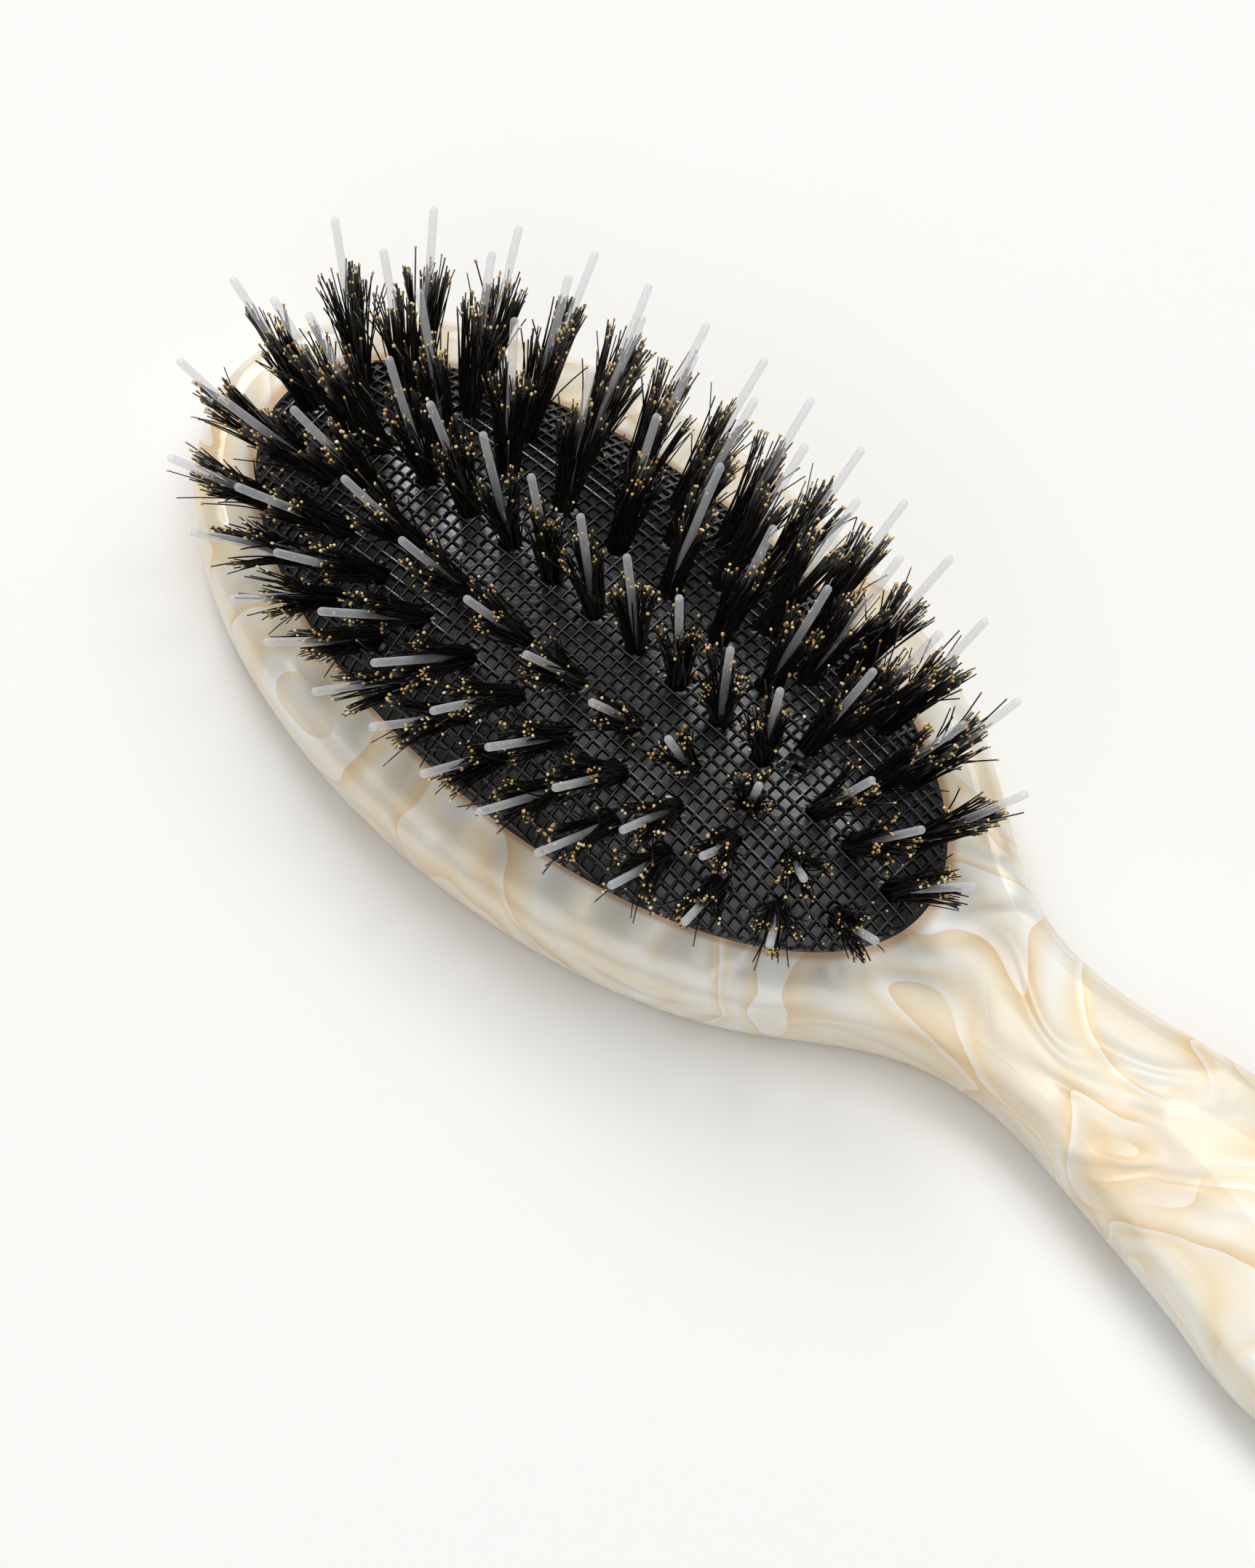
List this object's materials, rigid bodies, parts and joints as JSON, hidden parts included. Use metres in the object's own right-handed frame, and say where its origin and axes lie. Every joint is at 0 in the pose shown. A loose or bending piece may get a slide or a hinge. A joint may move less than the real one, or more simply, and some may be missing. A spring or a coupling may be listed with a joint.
{
  "type": "cushion hairbrush",
  "caption": "Oval hairbrush with a one-piece marbled acetate body, a domed air cushion, and bristle tufts round nylon pins that sink together when pressed.",
  "frame": {"origin": "on the body's flat back, under the centre of the oval cushion", "axes": "+X from the head towards the handle's butt, +Z out through the bristles, +Y to the left side"},
  "size_m": [0.2214, 0.07, 0.044],
  "materials": {
    "acetate": "polished cream cellulose acetate with pearl and amber marbling",
    "rubber": "black, embossed with a fine square mesh",
    "bristle": "black natural bristle with pale amber tips",
    "nylon": "frosted translucent white",
    "wire": "drawn wire"
  },
  "bodies": {
    "root": {"handle_body": "acetate", "cushion": "rubber"},
    "tufts_centre": {"anchors_centre": "wire", "bristles_centre": "bristle", "pins_centre": "nylon"},
    "tufts_inner": {"anchors_inner_left": "wire", "anchors_inner_right": "wire", "bristles_inner_left": "bristle", "bristles_inner_right": "bristle", "pins_inner_left": "nylon", "pins_inner_right": "nylon"},
    "tufts_middle": {"anchors_middle_left": "wire", "anchors_middle_right": "wire", "bristles_middle_left": "bristle", "bristles_middle_right": "bristle", "pins_middle_left": "nylon", "pins_middle_right": "nylon"},
    "tufts_outer": {"anchors_outer_left": "wire", "anchors_outer_right": "wire", "bristles_outer_left": "bristle", "bristles_outer_right": "bristle", "pins_outer_left": "nylon", "pins_outer_right": "nylon"}
  },
  "joints": [
    {"name": "press_centre", "type": "slide", "parent": "root", "child": "tufts_centre", "axis": [0, 0, 1], "range_m": [-0.003, 0], "stiffness_N_per_m": 1500, "deforming": ["cushion"]},
    {"name": "press_inner", "type": "slide", "parent": "root", "child": "tufts_inner", "axis": [0, 0, 1], "range_m": [-0.0027, 0], "stiffness_N_per_m": 1500},
    {"name": "press_middle", "type": "slide", "parent": "root", "child": "tufts_middle", "axis": [0, 0, 1], "range_m": [-0.0021, 0], "stiffness_N_per_m": 1500},
    {"name": "press_outer", "type": "slide", "parent": "root", "child": "tufts_outer", "axis": [0, 0, 1], "range_m": [-0.0012, 0], "stiffness_N_per_m": 1500}
  ],
  "couplings": [
    {"joint": "press_inner", "follows": "press_centre", "ratio": 0.9},
    {"joint": "press_middle", "follows": "press_centre", "ratio": 0.7},
    {"joint": "press_outer", "follows": "press_centre", "ratio": 0.4}
  ]
}
